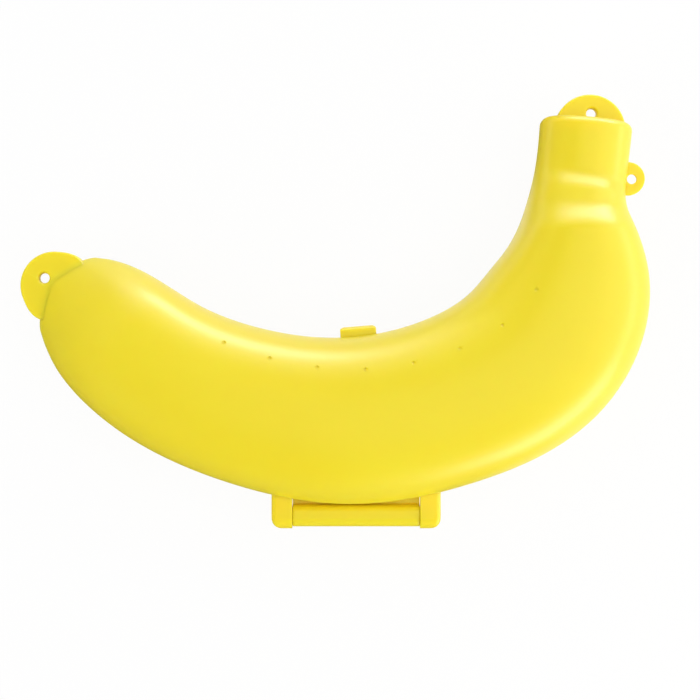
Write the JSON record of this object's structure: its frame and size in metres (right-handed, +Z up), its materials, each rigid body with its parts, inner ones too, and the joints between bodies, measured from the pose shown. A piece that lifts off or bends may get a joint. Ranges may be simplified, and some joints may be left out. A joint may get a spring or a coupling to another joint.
{
  "type": "banana carrying case",
  "caption": "Hinged hard case moulded to the curve of a banana, with a snap latch, air vents, hang tabs and a lanyard ring.",
  "frame": {"origin": "middle of the closed case's bounding box, on the surface it lies on", "axes": "+X from the tip to the stem, +Y from the hinge to the latch, +Z up through the parting plane to the lid"},
  "size_m": [0.1951, 0.1348, 0.044],
  "materials": {
    "shell_plastic": "satin-gloss moulded polypropylene",
    "pin_plastic": "plain moulded rod"
  },
  "bodies": {
    "base": {"base_shell": "shell_plastic", "hinge_barrel": "shell_plastic", "latch_strike": "shell_plastic", "base_tip_tab": "shell_plastic", "base_stem_tab": "shell_plastic", "lanyard_ring": "shell_plastic"},
    "lid": {"lid_shell": "shell_plastic", "hinge_lug_left": "shell_plastic", "hinge_lug_right": "shell_plastic", "hinge_pin": "pin_plastic", "lid_tip_tab": "shell_plastic", "lid_stem_tab": "shell_plastic"},
    "latch": {"latch_tongue": "shell_plastic"}
  },
  "joints": [
    {"name": "lid_hinge", "type": "hinge", "parent": "base", "child": "lid", "pos_m": [0.007, -0.06417, 0.022], "axis": [1, 0, 0], "range_deg": [0, 180]},
    {"name": "latch_flex", "type": "hinge", "parent": "lid", "child": "latch", "pos_m": [0.00772, -0.00742, 0.0233], "axis": [0.9967, 0.081, 0], "range_deg": [0, 10], "stiffness_Nm_per_rad": 0.05}
  ]
}
